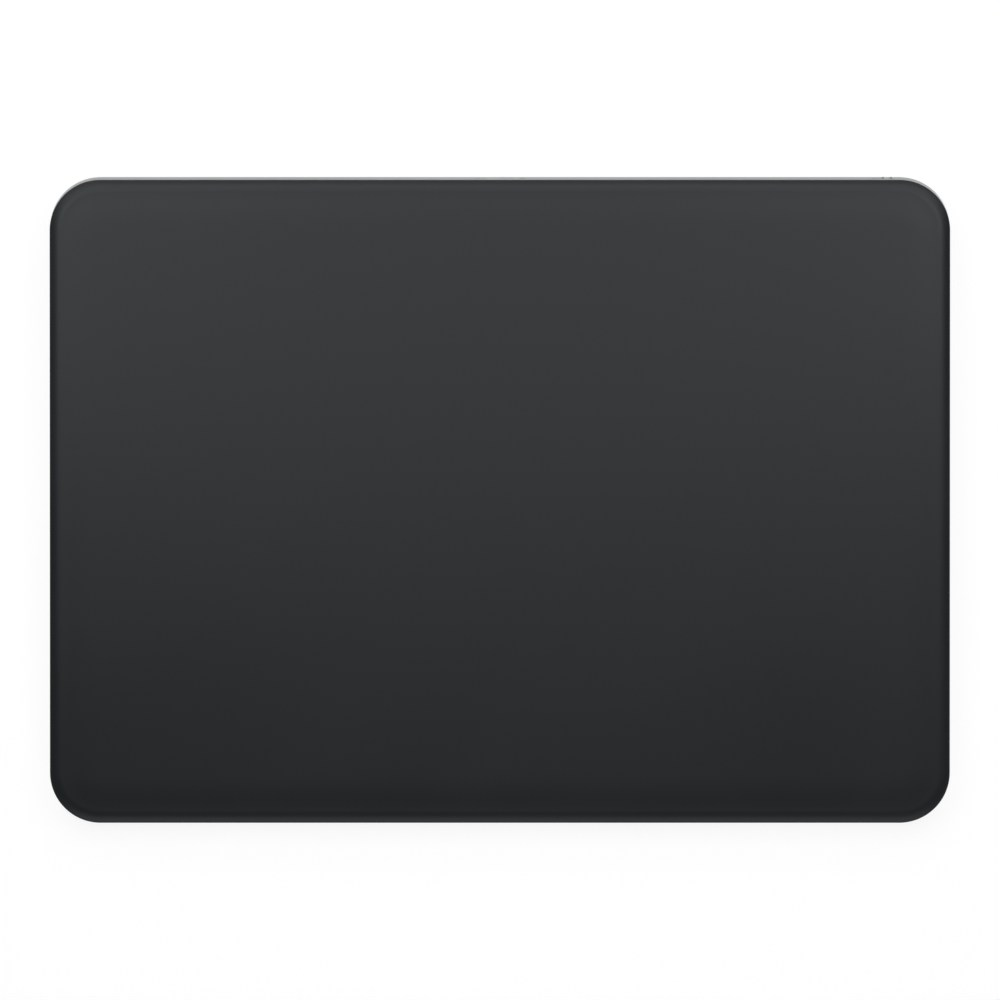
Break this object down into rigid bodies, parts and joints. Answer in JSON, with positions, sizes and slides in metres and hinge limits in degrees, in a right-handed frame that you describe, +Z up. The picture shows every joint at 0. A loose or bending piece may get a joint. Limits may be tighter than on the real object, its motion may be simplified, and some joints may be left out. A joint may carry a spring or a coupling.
{
  "type": "touch pad",
  "caption": "Low wedge-shaped touch pad with a matte black glass top that presses and clicks on sprung supports, a metal housing, a charging port and a sliding power switch.",
  "frame": {"origin": "on the desk under the middle of the part's box", "axes": "+Z up, +X to the right as the user sees it, +Y to the rear wall with the port and the switch"},
  "size_m": [0.16, 0.1149, 0.0109],
  "materials": {
    "glass": "matte etched glass, black coated underneath",
    "aluminium": "fine bead-blasted and anodised",
    "knob": "satin",
    "film": "matte",
    "rubber_feet": "matte",
    "black_foam": "matte",
    "isolator_gel": "matte",
    "spring_steel": "brushed",
    "stainless": "satin",
    "soft_iron": "laminated",
    "copper_wire": "enamelled wire",
    "circuit_board": "solder mask",
    "flat_cable": "polyimide film",
    "chip_plastic": "moulded",
    "socket_plastic": "moulded",
    "ceramic": "fired ceramic",
    "gold": "plated",
    "gauge_foil": "etched foil on film",
    "antenna_plastic": "plated traces on moulding",
    "cell_foil": "laminated foil",
    "white_tape": "adhesive film",
    "screw_steel": "blackened"
  },
  "bodies": {
    "housing": {"housing": "aluminium", "rim_gasket": "black_foam", "force_spring_front_left": "spring_steel", "force_spring_front_right": "spring_steel", "force_spring_rear_left": "spring_steel", "force_spring_rear_right": "spring_steel", "strain_gauges": "gauge_foil", "foot_front_left": "rubber_feet", "foot_front_right": "rubber_feet", "foot_rear_left": "rubber_feet", "foot_rear_right": "rubber_feet", "haptic_bracket": "stainless", "haptic_core": "soft_iron", "haptic_coil_left": "copper_wire", "haptic_coil_right": "copper_wire", "haptic_terminal": "circuit_board", "haptic_cable": "flat_cable", "battery_adhesive": "white_tape", "battery_cell": "cell_foil", "battery_board": "circuit_board", "battery_cable": "flat_cable", "logic_board": "circuit_board", "shield_can": "stainless", "main_chip": "chip_plastic", "radio_chip": "chip_plastic", "touch_chip": "chip_plastic", "charger_chip": "chip_plastic", "power_inductor": "chip_plastic", "board_capacitors": "ceramic", "board_sockets": "socket_plastic", "sensor_cable": "flat_cable", "antenna": "antenna_plastic", "antenna_clip": "gold", "port_sleeve": "stainless", "port_tongue": "chip_plastic", "port_contacts": "gold", "port_board": "circuit_board", "port_cable": "flat_cable", "switch_body": "chip_plastic", "switch_board": "circuit_board", "switch_cable": "flat_cable", "small_screws": "screw_steel"},
    "suspension": {"isolator_pad_front_left": "isolator_gel", "isolator_pad_front_right": "isolator_gel", "isolator_pad_rear_left": "isolator_gel", "isolator_pad_rear_right": "isolator_gel"},
    "touch_plate": {"touch_glass": "glass", "glass_adhesive": "black_foam", "sensor_board": "circuit_board", "sensor_socket": "socket_plastic", "stiffener_plate": "stainless", "armature_left": "soft_iron", "armature_right": "soft_iron"},
    "power_switch": {"switch_knob": "knob", "switch_film": "film"}
  },
  "joints": [
    {"name": "touch_press", "type": "slide", "parent": "housing", "child": "suspension", "axis": [0, 0.0533, -0.9986], "range_m": [0, 0.0002], "stiffness_N_per_m": 12000, "springref_m": -0.00012, "deforming": ["force_spring_front_left", "force_spring_front_right", "force_spring_rear_left", "force_spring_rear_right", "rim_gasket", "sensor_cable"]},
    {"name": "haptic_shift", "type": "slide", "parent": "suspension", "child": "touch_plate", "axis": [1, 0, 0], "range_m": [-0.00012, 0.00012], "stiffness_N_per_m": 20000, "deforming": ["rim_gasket", "sensor_cable"]},
    {"name": "power_switch_slide", "type": "slide", "parent": "housing", "child": "power_switch", "axis": [1, 0, 0], "range_m": [-0.0016, 0]}
  ]
}
